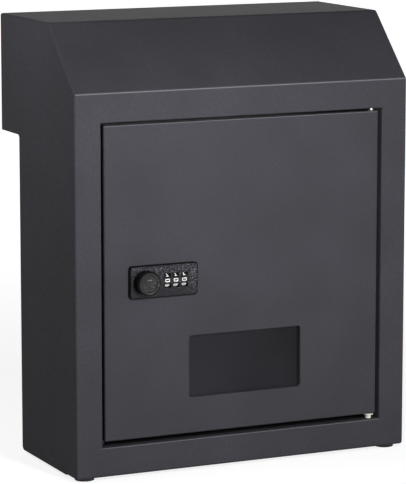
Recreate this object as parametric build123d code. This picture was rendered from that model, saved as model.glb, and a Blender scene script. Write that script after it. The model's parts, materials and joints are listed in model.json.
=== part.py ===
from build123d import *
import math
import os

# Through-wall drop box: a folded steel cabinet with a sloped hood and a collar that enters the
# wall, and a hinged front door with a window and a three-dial combination lock.
#
# Millimetres. X runs to the right, Y back from the front face of the cabinet, Z up from the floor.
# The finished pieces are shifted along Y alone, so that the origin lies under the middle of the box.

# Cabinet
WIDTH = 340.0
HEIGHT = 414.0  # underside to top, without the feet
FRONT_HEIGHT = 354.0  # underside to the fold where the slope starts
SLOPE_RUN = 61.0  # how far the slope leans back
BODY_DEPTH = 135.0  # front face to the lower back
COLLAR_DEPTH = 45.0  # how far the collar stands out behind the lower back
COLLAR_HEIGHT = 111.0
SHEET = 1.2
FOLD_RADIUS = 4.5  # outer radius of the hood and back folds
SILL_RADIUS = 3.0  # outer radius of the front panel's bottom fold
CORNER_RADIUS = 2.2  # outer radius of the formed corners
FRONT_RETURN = 10.0  # the front panel's edges that turn back along the sides
SILL_RETURN = 25.0  # flanges under the cabinet that carry the bottom panel

# Door opening in the front panel
FRAME_SIDE = 26.3
FRAME_TOP = 26.9  # below the slope's fold
FRAME_BOTTOM = 28.0
LIP_RADIUS = 1.6
STOP_WIDTH = 8.0  # flange behind the door's free edge
STOP_GAP = 2.3  # door's rear edge to the stop flange

# Door
GAP_FREE = 2.8
GAP_HINGE = 3.2
GAP_TOP = 2.2
GAP_BOTTOM = 4.9
DOOR_RECESS = 1.3
DOOR_DEPTH = 12.0
DOOR_EDGE_RADIUS = 1.8
DOOR_CORNER_RADIUS = 1.8

# Hinge: two fixed pins in the lips, bushes in the door
HINGE_INSET = 5.2  # pin axis from the door's edge, and from its face
PIN_RADIUS = 2.0
PIN_HEAD_RADIUS = 3.5
PIN_HEAD = 1.5
PIN_REACH = 6.0  # how far the pin stands into the door
BUSH_RADIUS = 2.9
BUSH_SHOULDER_RADIUS = 3.4
BUSH_LENGTH = 4.5
WASHER_RADIUS = 4.9
WASHER_FLANGE = 1.2
WASHER_NECK_RADIUS = 2.8

# Window
WINDOW_WIDTH = 115.0
WINDOW_HEIGHT = 58.0
WINDOW_ABOVE = 34.1  # above the door's lower edge
WINDOW_SHIFT = 1.9  # right of the door's centre
WINDOW_CORNER = 3.0
WINDOW_LIP = 4.0  # turned-in edge, from the door's face to the pane
PANE_THICKNESS = 2.0
PANE_OVERLAP = 8.0
RETAINER_BORDER = 11.0  # beyond the pane
STUD_RADIUS = 1.95
NUT_WIDTH = 7.0
NUT_HEIGHT = 3.2

# Lock housing
LOCK_WIDTH = 68.5
LOCK_HEIGHT = 30.5
LOCK_PLATE = 4.0
LOCK_CORNER = 3.5
LOCK_RIM = 0.9
LOCK_FROM_EDGE = 23.9  # face plate's left edge from the door's left edge
LOCK_ABOVE = 146.7  # lock axis above the door's lower edge
LOCK_BODY_MARGIN = 3.0  # face plate beyond the body, all round
LOCK_BODY_CORNER = 2.0
BACK_PLATE = 1.2
CLIP_THICKNESS = 1.5
CLIP_GROOVE = 1.2
CLIP_WIDTH = 5.0
LOCK_SCREW_RADIUS = 1.4
LOCK_SCREW_HEAD = 2.6
LOCK_SCREW_LENGTH = 7.0

# Dials
DIAL_COUNT = 3
DIAL_FIRST = 37.4  # first dial's centre from the face plate's left edge
DIAL_PITCH = 8.45
DIAL_RADIUS = 8.5  # to the ridges between the ten faces
DIAL_WIDTH = 6.5
DIAL_FACES = 10
DIAL_GROOVE = 1.0
DIAL_PROUD = 0.2  # faces ahead of the face plate
DIAL_WELL = 13.5  # height of the openings in the face plate
AXLE_RADIUS = 1.5
AXLE_SEAT = 4.0  # length of axle held at each end
SPRING_SHEET = 0.4

# Knob and latch
KNOB_FROM_EDGE = 15.2  # knob axis from the face plate's left edge
KNOB_RADIUS = 11.25
KNOB_LENGTH = 9.7
KNOB_EDGE = 1.4
KNOB_FLUTES = 24
KNOB_FLUTE_DEPTH = 0.6
KNOB_DISH = 0.6
KNOB_DISH_SHARE = 0.72  # dish's radius as a share of the knob's
JOURNAL_RADIUS = 5.0
BOSS_RADIUS = 3.5
BOSS_LENGTH = 6.0
CAM_LENGTH = 40.0
CAM_WIDTH = 16.0
CAM_TIP_WIDTH = 12.0
CAM_SHEET = 2.5
CAM_SQUARE = 6.0
CAM_WASHER_RADIUS = 6.0
CAM_WASHER = 0.8
CAM_SCREW_RADIUS = 1.95
CAM_SCREW_HEAD = 4.0
CAM_SCREW_HEIGHT = 2.4
CAM_SCREW_DEPTH = 8.0

# Code-change lever
LEVER_FROM_DIAL = 7.0  # lever pivot from the first dial, towards the knob
LEVER_RADIUS = 2.0
LEVER_LENGTH = 11.0
LEVER_WIDTH = 4.4
LEVER_SHEET = 1.4

# Collar, chute and baffle
MOUTH_WIDTH = 290.0
MOUTH_HEIGHT = 62.0
MOUTH_ABOVE = 25.0  # sill of the mouth above the collar's underside
MOUTH_FLANGE = 12.0
MOUTH_LIP = 8.0
MOUTH_CORNER = 6.0
CHUTE_REACH = 75.0  # front edge of the chute from the front face
CHUTE_DROP = 38.0
CHUTE_HEM = 9.0
BAFFLE_FROM_FRONT = 92.0
BAFFLE_DROP = 62.0
BAFFLE_FLANGE = 20.0
BAFFLE_KICK = 12.0
BAFFLE_TEETH = 16
BAFFLE_TOOTH = 8.0

# Wall-fixing holes in the lower back
WALL_HOLE_RADIUS = 3.5
WALL_SPACING_X = 240.0
WALL_SPACING_Z = 180.0
WALL_CENTRE = 150.0  # above the underside

# Feet and bumpers
FOOT_RADIUS = 9.5
FOOT_HEIGHT = 3.0
FOOT_TAPER = 0.5
FOOT_SETBACK = 4.0  # foot's edge from the cabinet's front, back and sides
FOOT_STEM_RADIUS = 2.5
FOOT_STEM = 5.0
BUMPER_RADIUS = 3.5
BUMPER_FROM_END = 60.0

# Clearances
RUNNING = 0.3  # between faces of pieces that move past each other
FIT = 0.05  # radial, of a pin or shaft in its hole
SEAT = 0.05  # radial, of a fixed piece in its hole
PASSAGE = 0.7  # cam past the frame
CAM_GAP = 0.9  # least gap between the lock's back plate and the cam
SPRING_ROOM = 1.0  # behind the dial pockets, for the detent spring

# Levels and planes worked out from the sizes above
UNDERSIDE = FOOT_HEIGHT
TOP = UNDERSIDE + HEIGHT
FOLD = UNDERSIDE + FRONT_HEIGHT
STEP = TOP - COLLAR_HEIGHT
REAR = BODY_DEPTH + COLLAR_DEPTH
HALF = WIDTH / 2

OPENING_X = (FRAME_SIDE - HALF, HALF - FRAME_SIDE)
OPENING_Z = (UNDERSIDE + FRAME_BOTTOM, FOLD - FRAME_TOP)
DOOR_X = (OPENING_X[0] + GAP_FREE, OPENING_X[1] - GAP_HINGE)
DOOR_Z = (OPENING_Z[0] + GAP_BOTTOM, OPENING_Z[1] - GAP_TOP)
DOOR_FACE = DOOR_RECESS
DOOR_INSIDE = DOOR_FACE + SHEET
DOOR_REAR = DOOR_FACE + DOOR_DEPTH
STOP_FRONT = DOOR_REAR + STOP_GAP
STOP_REAR = STOP_FRONT + SHEET

HINGE_X = DOOR_X[1] - HINGE_INSET
HINGE_Y = DOOR_FACE + HINGE_INSET

LOCK_X = (DOOR_X[0] + LOCK_FROM_EDGE, DOOR_X[0] + LOCK_FROM_EDGE + LOCK_WIDTH)
LOCK_Z = DOOR_Z[0] + LOCK_ABOVE
LOCK_FRONT = DOOR_FACE - LOCK_PLATE
KNOB_X = LOCK_X[0] + KNOB_FROM_EDGE
DIAL_APOTHEM = DIAL_RADIUS * math.cos(math.pi / DIAL_FACES)
DIAL_Y = LOCK_FRONT - DIAL_PROUD + DIAL_APOTHEM
DIAL_POCKET = DIAL_RADIUS + 2 * RUNNING
LOCK_REAR = DIAL_Y + DIAL_POCKET + SPRING_ROOM
CAM_FRONT = max(STOP_REAR + PASSAGE, LOCK_REAR + BACK_PLATE + CAM_GAP)
KNOB_REAR = LOCK_FRONT - RUNNING
KNOB_FRONT = KNOB_REAR - KNOB_LENGTH

WINDOW_X = (DOOR_X[0] + DOOR_X[1]) / 2 + WINDOW_SHIFT
WINDOW_Z = DOOR_Z[0] + WINDOW_ABOVE + WINDOW_HEIGHT / 2
PANE_Y = DOOR_FACE + WINDOW_LIP

MIDDLE = (REAR + KNOB_FRONT) / 2


def block(x_range, y_range, z_range):
    """A rectangular block between three pairs of limits."""
    ranges = (x_range, y_range, z_range)
    sizes = [high - low for low, high in ranges]
    lows = [low for low, high in ranges]
    return Pos(*lows) * Box(*sizes, align=(Align.MIN, Align.MIN, Align.MIN))


def rod_x(x_range, y, z, radius):
    """A cylinder along X."""
    length = x_range[1] - x_range[0]
    return Pos(x_range[0], y, z) * Rot(0, 90, 0) * Cylinder(radius, length, align=BASE)


def rod_y(x, y_range, z, radius):
    """A cylinder along Y."""
    length = y_range[1] - y_range[0]
    return Pos(x, y_range[0], z) * Rot(-90, 0, 0) * Cylinder(radius, length, align=BASE)


def rod_z(x, y, z_range, radius):
    """A cylinder along Z."""
    return Pos(x, y, z_range[0]) * Cylinder(radius, z_range[1] - z_range[0], align=BASE)


BASE = (Align.CENTER, Align.CENTER, Align.MIN)


def slab_y(x, z, width, height, corner, y_range):
    """A plate with rounded corners that faces along Y."""
    face = Plane.XZ * RectangleRounded(width, height, corner)
    plate = extrude(face, amount=y_range[1] - y_range[0])
    return Pos(x, y_range[1], z) * plate


def grown(limits, amount):
    """A pair of limits moved apart by an amount at each end."""
    return (limits[0] - amount, limits[1] + amount)


def directions(path):
    """Unit direction of each run of a path."""
    runs = []
    for (a, b), (c, d) in zip(path, path[1:]):
        length = math.hypot(c - a, d - b)
        runs.append(((c - a) / length, (d - b) / length))
    return runs


def parallel(path, distance):
    """The path moved to its left by a distance, its corners mitred."""
    runs = directions(path)
    normals = [(-dy, dx) for dx, dy in runs]
    before = [normals[0]] + normals
    after = normals + [normals[-1]]
    moved = []
    for (u, v), (a, b), (c, d) in zip(path, before, after):
        scale = distance / (1 + a * c + b * d)
        moved.append((u + (a + c) * scale, v + (b + d) * scale))
    return moved


def parallel_radii(path, radii, distance):
    """Corner radii of the path moved to its left: smaller on left turns, larger on right turns."""
    runs = directions(path)
    moved = []
    for (a, b), (c, d), radius in zip(runs, runs[1:], radii):
        side = math.copysign(1, a * d - b * c)
        moved.append(max(radius - side * distance, 0))
    return moved


def strip(path, radii, thickness):
    """Section of a sheet that follows a path, with its thickness to the left of the path."""
    inner = parallel(path, thickness)
    inner_radii = parallel_radii(path, radii, thickness)
    outline = Curve() + [
        FilletPolyline(*path, radius=radii),
        Line(path[-1], inner[-1]),
        FilletPolyline(*reversed(inner), radius=list(reversed(inner_radii))),
        Line(inner[0], path[0]),
    ]
    return make_face(outline)


def across(face, half_width):
    """A section drawn in Y and Z, drawn out to both sides along X."""
    return extrude(Plane.YZ * face, amount=half_width, both=True)


HOOD_PATH = [(REAR, TOP), (SLOPE_RUN, TOP), (0, FOLD), (0, UNDERSIDE), (SILL_RETURN, UNDERSIDE)]
HOOD_RADII = [FOLD_RADIUS, FOLD_RADIUS, SILL_RADIUS]
STEP_RADIUS = FOLD_RADIUS - SHEET


def hood_block(inset, thickness):
    """The front panel's path as a thick band, its long side edges rounded."""
    path = parallel(HOOD_PATH, inset)
    radii = parallel_radii(HOOD_PATH, HOOD_RADII, inset)
    band = across(strip(path, radii, thickness), HALF - inset)
    skin = Plane.YZ * FilletPolyline(*path, radius=radii)
    ends = band.faces().sort_by(Axis.X)
    rims = ends[0].edges() + ends[-1].edges()
    rims = [e for e in rims if skin.distance_to(Vertex(0, (e @ 0.5).Y, (e @ 0.5).Z)) < 0.01]
    return fillet(rims, CORNER_RADIUS - inset)


def door_lip():
    """The turned-in lips round the door opening, with the flange that stops the door."""
    sleeve = block(grown(OPENING_X, SHEET), (0, STOP_REAR), grown(OPENING_Z, SHEET))
    bore = block(OPENING_X, (-1, STOP_REAR + 1), OPENING_Z)
    stop_x = (OPENING_X[0] - SHEET, OPENING_X[0] + STOP_WIDTH)
    return (sleeve - bore) + block(stop_x, (STOP_FRONT, STOP_REAR), OPENING_Z)


def front_panel():
    """Front frame, slope and top as one folded sheet with short returns along its sides."""
    panel = hood_block(0, FRONT_RETURN) - hood_block(SHEET, FRONT_RETURN + 1)
    panel -= block(OPENING_X, (-1, SHEET + 1), OPENING_Z)
    panel += door_lip()
    rim = [e for e in panel.edges() if on_opening_rim(e)]
    panel = fillet(rim, LIP_RADIUS)
    for z in (OPENING_Z[0] - SHEET / 2, OPENING_Z[1] + SHEET / 2):
        panel -= rod_z(HINGE_X, HINGE_Y, (z - SHEET, z + SHEET), PIN_RADIUS + SEAT)
    for x, y in foot_places():
        panel -= rod_z(x, y, (UNDERSIDE - 1, UNDERSIDE + SHEET + 1), FOOT_STEM_RADIUS + SEAT)
    return panel


def on_opening_rim(edge):
    """True for the edges where the front face meets the lips of the door opening."""
    middle = edge @ 0.5
    inside_x = OPENING_X[0] - 0.01 < middle.X < OPENING_X[1] + 0.01
    inside_z = OPENING_Z[0] - 0.01 < middle.Z < OPENING_Z[1] + 0.01
    return abs(middle.Y) < 0.01 and inside_x and inside_z


def side_outline():
    """The side of the cabinet: body, slope, and collar behind."""
    points = [
        (0, UNDERSIDE),
        (BODY_DEPTH, UNDERSIDE),
        (BODY_DEPTH, STEP),
        (REAR, STEP),
        (REAR, TOP),
        (SLOPE_RUN, TOP),
        (0, FOLD),
    ]
    radii = [SILL_RADIUS, FOLD_RADIUS, STEP_RADIUS, 0, 0, FOLD_RADIUS, FOLD_RADIUS]
    return make_face(FilletPolyline(*points, radius=radii, close=True))


def side_panel(side):
    """Flat L-shaped side that meets the returns of the front panel."""
    face = side_outline() - strip(HOOD_PATH, HOOD_RADII, FRONT_RETURN)
    plate = extrude(Plane.YZ * face, amount=SHEET)
    return Pos(HALF - SHEET if side > 0 else -HALF, 0, 0) * plate


def back_panel():
    """Lower back with the collar's underside and a flange under the cabinet, one folded sheet."""
    path = [
        (BODY_DEPTH - SILL_RETURN, UNDERSIDE),
        (BODY_DEPTH, UNDERSIDE),
        (BODY_DEPTH, STEP),
        (REAR, STEP),
    ]
    panel = across(strip(path, [FOLD_RADIUS, STEP_RADIUS], SHEET), HALF - SHEET)
    for x, z in wall_hole_places():
        panel -= rod_y(x, (BODY_DEPTH - 2 * SHEET, BODY_DEPTH + 1), z, WALL_HOLE_RADIUS)
    for x, y in foot_places():
        panel -= rod_z(x, y, (UNDERSIDE - 1, UNDERSIDE + SHEET + 1), FOOT_STEM_RADIUS + SEAT)
    return panel


def wall_hole_places():
    """X and Z of the wall-fixing holes."""
    z = UNDERSIDE + WALL_CENTRE
    half_x = WALL_SPACING_X / 2
    half_z = WALL_SPACING_Z / 2
    return [(sx * half_x, z + sz * half_z) for sx in (-1, 1) for sz in (-1, 1)]


def foot_places():
    """X and Y of the feet: front left, front right, rear left, rear right."""
    inset = FOOT_SETBACK + FOOT_RADIUS
    return [(sx * (HALF - inset), y) for y in (inset, BODY_DEPTH - inset) for sx in (-1, 1)]


def bottom_panel():
    """Floor of the cabinet: a tray that lies on the flanges, its sides turned up."""
    edge = HALF - SHEET
    low = UNDERSIDE + SHEET
    flange = low + FRONT_RETURN + SHEET
    path = [(-edge, flange), (-edge, low), (edge, low), (edge, flange)]
    section = strip(path, [CORNER_RADIUS, CORNER_RADIUS], SHEET)
    y_start = FRONT_RETURN
    length = BODY_DEPTH - FOLD_RADIUS - y_start
    tray = Pos(0, y_start + length, 0) * extrude(Plane.XZ * section, amount=length)
    for x, y in foot_places():
        tray -= rod_z(x, y, (low - 1, low + SHEET + 1), FOOT_STEM_RADIUS + SEAT)
    return tray


def mouth_frame():
    """Back of the collar: a pan with flanges forward and a lipped deposit mouth."""
    half = HALF - SHEET
    floor = STEP + SHEET
    height = COLLAR_HEIGHT - 2 * SHEET
    depth = (REAR - MOUTH_FLANGE, REAR)
    shell = block((-half, half), depth, (floor, floor + height))
    shell = fillet(shell.edges().filter_by(Axis.Y), CORNER_RADIUS - SHEET / 2)
    shell = fillet(shell.faces().sort_by(Axis.Y)[-1].edges(), CORNER_RADIUS)
    hollow_x = (SHEET - half, half - SHEET)
    hollow_z = (floor + SHEET, floor + height - SHEET)
    hollow = block(hollow_x, (depth[0] - 1, REAR - SHEET), hollow_z)
    centre = STEP + MOUTH_ABOVE + MOUTH_HEIGHT / 2
    lip = slab_y(0, centre, MOUTH_WIDTH + 2 * SHEET, MOUTH_HEIGHT + 2 * SHEET,
                 MOUTH_CORNER + SHEET, (REAR - MOUTH_LIP, REAR - SHEET / 2))
    mouth = slab_y(0, centre, MOUTH_WIDTH, MOUTH_HEIGHT, MOUTH_CORNER, (depth[0] - 1, REAR + 1))
    return (shell - hollow) + lip - mouth


def chute_plate():
    """Sloped plate from the sill of the mouth, over the back's fold, into the cabinet."""
    rear = REAR - MOUTH_FLANGE - 1.0
    sill = STEP + MOUTH_ABOVE - SHEET
    path = [
        (rear, STEP + SHEET),
        (rear, sill),
        (CHUTE_REACH, sill - CHUTE_DROP),
        (CHUTE_REACH, sill - CHUTE_DROP - CHUTE_HEM),
    ]
    return across(strip(path, [CORNER_RADIUS, CORNER_RADIUS], SHEET), HALF - SHEET)


def baffle():
    """Anti-fishing plate that hangs from the top, its toothed lower edge turned to the mouth."""
    low = TOP - SHEET - BAFFLE_DROP
    path = [
        (BAFFLE_FROM_FRONT + BAFFLE_FLANGE, TOP - SHEET),
        (BAFFLE_FROM_FRONT, TOP - SHEET),
        (BAFFLE_FROM_FRONT, low),
        (BAFFLE_FROM_FRONT + BAFFLE_KICK, low - BAFFLE_KICK),
    ]
    half = HALF - CORNER_RADIUS
    plate = across(strip(path, [CORNER_RADIUS, FOLD_RADIUS], SHEET), half)
    pitch = 2 * half / BAFFLE_TEETH
    edge_y = BAFFLE_FROM_FRONT + BAFFLE_KICK
    edge_z = low - BAFFLE_KICK
    notch = Polygon((-pitch / 2, -1), (pitch / 2, -1), (0, BAFFLE_TOOTH), align=None)
    wedge = extrude(notch, amount=3 * SHEET, both=True)
    for i in range(BAFFLE_TEETH - 1):
        x = (i + 1) * pitch - half
        plate -= Pos(x, edge_y, edge_z) * Rot(135, 0, 0) * wedge
    return plate


def foot(x, y):
    """Round tapered rubber foot with a push-in stem."""
    pad = Pos(x, y, 0) * Cone(FOOT_RADIUS - FOOT_TAPER, FOOT_RADIUS, FOOT_HEIGHT, align=BASE)
    return pad + rod_z(x, y, (FOOT_HEIGHT, FOOT_HEIGHT + FOOT_STEM), FOOT_STEM_RADIUS)


def bumper(z):
    """Rubber button on the stop flange that the closed door rests against."""
    x = OPENING_X[0] + STOP_WIDTH / 2
    button = rod_y(x, (DOOR_REAR + RUNNING, STOP_FRONT), z, BUMPER_RADIUS)
    return chamfer(button.edges().sort_by(Axis.Y)[0], STOP_GAP / 4)


def hinge_pin(face, seat, inward):
    """Headed pin through one lip: face is the lip's, seat the door's, inward the way in."""
    head = sorted((face - inward * SHEET, face - inward * (SHEET + PIN_HEAD)))
    shank = sorted((face - inward * SHEET, seat + inward * PIN_REACH))
    pin = rod_z(HINGE_X, HINGE_Y, head, PIN_HEAD_RADIUS) + rod_z(HINGE_X, HINGE_Y, shank, PIN_RADIUS)
    tip = pin.edges().sort_by(Axis.Z)[-1 if inward > 0 else 0]
    return chamfer(tip, PIN_RADIUS / 5)


def hinge_bush(seat, inward):
    """Shouldered bush in the door, round one pin."""
    body = sorted((seat, seat + inward * BUSH_LENGTH))
    shoulder = sorted((seat + inward * SHEET, seat + inward * BUSH_LENGTH))
    bush = rod_z(HINGE_X, HINGE_Y, body, BUSH_RADIUS)
    bush += rod_z(HINGE_X, HINGE_Y, shoulder, BUSH_SHOULDER_RADIUS)
    return bush - rod_z(HINGE_X, HINGE_Y, grown(body, 1), PIN_RADIUS + FIT)


def hinge_washer():
    """Flanged spacer on the lower pin that carries the door."""
    top = DOOR_Z[0] - RUNNING
    neck = rod_z(HINGE_X, HINGE_Y, (OPENING_Z[0], top), WASHER_NECK_RADIUS)
    flange = rod_z(HINGE_X, HINGE_Y, (top - WASHER_FLANGE, top), WASHER_RADIUS)
    return neck + flange - rod_z(HINGE_X, HINGE_Y, (OPENING_Z[0] - 1, top + 1), PIN_RADIUS + SEAT)


def door_skin():
    """The door: a folded pan with a lipped window, the lock's cut-out and hinge holes."""
    shell = block(DOOR_X, (DOOR_FACE, DOOR_REAR), DOOR_Z)
    shell = fillet(shell.edges().filter_by(Axis.Y), DOOR_CORNER_RADIUS)
    shell = fillet(shell.faces().sort_by(Axis.Y)[0].edges(), DOOR_EDGE_RADIUS)
    hollow = block(grown(DOOR_X, -SHEET), (DOOR_INSIDE, DOOR_REAR + 1), grown(DOOR_Z, -SHEET))
    hollow = fillet(hollow.faces().sort_by(Axis.Y)[0].edges(), DOOR_EDGE_RADIUS - SHEET)
    skin = shell - hollow
    skin += slab_y(WINDOW_X, WINDOW_Z, WINDOW_WIDTH + 2 * SHEET, WINDOW_HEIGHT + 2 * SHEET,
                   WINDOW_CORNER + SHEET, (DOOR_FACE + SHEET / 2, PANE_Y))
    skin -= slab_y(WINDOW_X, WINDOW_Z, WINDOW_WIDTH, WINDOW_HEIGHT, WINDOW_CORNER, (-1, PANE_Y + 1))
    skin = chamfer([e for e in skin.edges() if on_window_rim(e)], SHEET / 2)
    skin -= lock_body(SEAT, (DOOR_FACE - 1, DOOR_INSIDE + 1))
    for z in DOOR_Z:
        skin -= rod_z(HINGE_X, HINGE_Y, (z - 2 * SHEET, z + 2 * SHEET), BUSH_RADIUS + SEAT)
    return skin


def on_window_rim(edge):
    """True for the edges where the door's face turns into the window."""
    middle = edge @ 0.5
    near_x = abs(middle.X - WINDOW_X) < WINDOW_WIDTH / 2 + 0.01
    near_z = abs(middle.Z - WINDOW_Z) < WINDOW_HEIGHT / 2 + 0.01
    return abs(middle.Y - DOOR_FACE) < 0.01 and near_x and near_z


def window_pane():
    """Dark acrylic sheet behind the window's lip, cut square."""
    half_x = WINDOW_WIDTH / 2 + PANE_OVERLAP
    half_z = WINDOW_HEIGHT / 2 + PANE_OVERLAP
    return block(grown((WINDOW_X, WINDOW_X), half_x), (PANE_Y, PANE_Y + PANE_THICKNESS),
                 grown((WINDOW_Z, WINDOW_Z), half_z))


def stud_places():
    """X and Z of the studs beside the pane."""
    half_x = WINDOW_WIDTH / 2 + PANE_OVERLAP + RETAINER_BORDER / 2
    half_z = WINDOW_HEIGHT / 2 - PANE_OVERLAP
    return [(WINDOW_X + sx * half_x, WINDOW_Z + sz * half_z) for sx in (-1, 1) for sz in (-1, 1)]


def window_retainer():
    """Sheet frame that clamps the pane, its outer edge turned back to stiffen it."""
    front = PANE_Y + PANE_THICKNESS
    depth = 3 * SHEET
    light_x = grown((WINDOW_X, WINDOW_X), WINDOW_WIDTH / 2)
    light_z = grown((WINDOW_Z, WINDOW_Z), WINDOW_HEIGHT / 2)
    outer_x = grown(light_x, PANE_OVERLAP + RETAINER_BORDER)
    outer_z = grown(light_z, PANE_OVERLAP + RETAINER_BORDER / 2)
    frame = block(outer_x, (front, front + depth), outer_z)
    frame -= block(grown(outer_x, -SHEET), (front + SHEET, front + depth + 1), grown(outer_z, -SHEET))
    frame -= block(light_x, (front - 1, front + SHEET + 1), light_z)
    for x, z in stud_places():
        frame -= rod_y(x, (front - 1, front + depth + 1), z, STUD_RADIUS + SEAT)
    return frame


def window_studs():
    """Studs welded to the inside of the door."""
    end = PANE_Y + PANE_THICKNESS + SHEET + NUT_HEIGHT + 1.0
    return [rod_y(x, (DOOR_INSIDE, end), z, STUD_RADIUS) for x, z in stud_places()]


def window_nuts():
    """Hexagon nuts on the studs."""
    front = PANE_Y + PANE_THICKNESS + SHEET
    across_corners = NUT_WIDTH / math.cos(math.pi / 6)
    face = Plane.XZ * (RegularPolygon(across_corners / 2, 6, rotation=30) - Circle(STUD_RADIUS + SEAT))
    nut = Pos(0, front + NUT_HEIGHT, 0) * extrude(face, amount=NUT_HEIGHT)
    return [Pos(x, 0, z) * nut for x, z in stud_places()]


def lock_body(clearance, y_range):
    """The block of the lock that passes through the door, grown by a clearance."""
    margin = 2 * (LOCK_BODY_MARGIN - clearance)
    centre = (LOCK_X[0] + LOCK_X[1]) / 2
    return slab_y(centre, LOCK_Z, LOCK_WIDTH - margin, LOCK_HEIGHT - margin, LOCK_BODY_CORNER, y_range)


def dial_x(index):
    """Limits of one dial along X."""
    centre = LOCK_X[0] + DIAL_FIRST + index * DIAL_PITCH
    return (centre - DIAL_WIDTH / 2, centre + DIAL_WIDTH / 2)


def dial_pocket(index):
    """Room for one dial: round it, open to the back, and open in the face plate."""
    x_range = grown(dial_x(index), RUNNING)
    room = rod_x(x_range, DIAL_Y, LOCK_Z, DIAL_POCKET)
    room &= block(x_range, (LOCK_FRONT + SHEET, LOCK_REAR), grown((LOCK_Z, LOCK_Z), DIAL_POCKET))
    room += block(x_range, (DIAL_Y, LOCK_REAR + 1), grown((LOCK_Z, LOCK_Z), DIAL_POCKET))
    return room + block(x_range, (LOCK_FRONT - 1, DIAL_Y), grown((LOCK_Z, LOCK_Z), DIAL_WELL / 2))


def axle_x():
    """Limits of the dial axle along X."""
    first = dial_x(0)[0] - RUNNING - AXLE_SEAT
    last = dial_x(DIAL_COUNT - 1)[1] + RUNNING + AXLE_SEAT
    return (first, last)


def lock_housing():
    """Die-cast lock body with its bevelled face plate, dial pockets and spindle bore."""
    centre = (LOCK_X[0] + LOCK_X[1]) / 2
    plate = slab_y(centre, LOCK_Z, LOCK_WIDTH, LOCK_HEIGHT, LOCK_CORNER, (LOCK_FRONT, DOOR_FACE))
    plate = chamfer(plate.faces().sort_by(Axis.Y)[0].edges(), LOCK_RIM)
    body = plate + lock_body(0, (DOOR_FACE, LOCK_REAR))
    body -= clip_grooves()
    body -= rod_y(KNOB_X, (LOCK_FRONT - 1, LOCK_REAR + 1), LOCK_Z, JOURNAL_RADIUS + FIT)
    for index in range(DIAL_COUNT):
        body -= dial_pocket(index)
    spring_x = (dial_x(0)[0] - RUNNING, dial_x(DIAL_COUNT - 1)[1] + RUNNING)
    body -= block(spring_x, (DIAL_Y + DIAL_POCKET, LOCK_REAR + 1), grown((LOCK_Z, LOCK_Z), DIAL_POCKET))
    body -= rod_x(axle_x(), DIAL_Y, LOCK_Z, AXLE_RADIUS + SEAT)
    for x in lock_screw_places():
        depth = (LOCK_REAR - LOCK_SCREW_LENGTH, LOCK_REAR + 1)
        body -= rod_y(x, depth, LOCK_Z, LOCK_SCREW_RADIUS + SEAT)
    depth = (LOCK_REAR - 2 * SHEET, LOCK_REAR + 1)
    return body - rod_y(lever_x(), depth, LOCK_Z, LEVER_RADIUS + 2 * RUNNING)


def clip_grooves():
    """Grooves above and below the lock body that hold the retaining clip."""
    depth = (DOOR_INSIDE, DOOR_INSIDE + CLIP_THICKNESS + SEAT)
    half = LOCK_HEIGHT / 2 - LOCK_BODY_MARGIN
    outer = block(grown(LOCK_X, 1), depth, grown((LOCK_Z, LOCK_Z), half + 1))
    core = block(grown(LOCK_X, 2), grown(depth, 1), grown((LOCK_Z, LOCK_Z), half - CLIP_GROOVE))
    return outer - core


def lock_clip():
    """Horseshoe clip pushed over the lock body from the right, against the inside of the door."""
    half = LOCK_HEIGHT / 2 - LOCK_BODY_MARGIN - CLIP_GROOVE + SEAT
    end = LOCK_X[1] - LOCK_BODY_MARGIN + SEAT
    start = LOCK_X[0] + LOCK_BODY_MARGIN
    depth = (DOOR_INSIDE, DOOR_INSIDE + CLIP_THICKNESS)
    size = end + CLIP_WIDTH - start
    centre = start + size / 2
    sheet = slab_y(centre, LOCK_Z, size, 2 * (half + CLIP_WIDTH), CLIP_WIDTH / 2, depth)
    return sheet - block((start - 1, end), grown(depth, 1), grown((LOCK_Z, LOCK_Z), half))


def lock_screw_places():
    """X of the back plate's screws, at its two ends."""
    inset = LOCK_BODY_MARGIN + LOCK_SCREW_HEAD + 0.6
    return [LOCK_X[0] + inset, LOCK_X[1] - inset]


def lever_x():
    """X of the code-change lever's pivot."""
    return dial_x(0)[0] - LEVER_FROM_DIAL


def lock_back_plate():
    """Plate that closes the dial pockets, with holes for spindle, screws and lever."""
    depth = (LOCK_REAR, LOCK_REAR + BACK_PLATE)
    plate = lock_body(0, depth)
    plate -= rod_y(KNOB_X, grown(depth, 1), LOCK_Z, JOURNAL_RADIUS + RUNNING)
    plate -= rod_y(lever_x(), grown(depth, 1), LOCK_Z, LEVER_RADIUS + FIT)
    for x in lock_screw_places():
        plate -= screw_shape(x, SEAT)
    return plate


def screw_shape(x, clearance):
    """Countersunk screw in the back of the lock, grown by a clearance."""
    shank = rod_y(x, (LOCK_REAR - LOCK_SCREW_LENGTH, LOCK_REAR + BACK_PLATE), LOCK_Z,
                  LOCK_SCREW_RADIUS + clearance)
    head = Cone(LOCK_SCREW_RADIUS + clearance, LOCK_SCREW_HEAD + clearance, BACK_PLATE, align=BASE)
    return shank + Pos(x, LOCK_REAR, LOCK_Z) * Rot(-90, 0, 0) * head


def lock_screws():
    """The two countersunk screws, with their cross recess left plain."""
    return [screw_shape(x, 0) for x in lock_screw_places()]


def dial_axle():
    """Axle that carries the dials."""
    return rod_x(axle_x(), DIAL_Y, LOCK_Z, AXLE_RADIUS)


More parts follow.
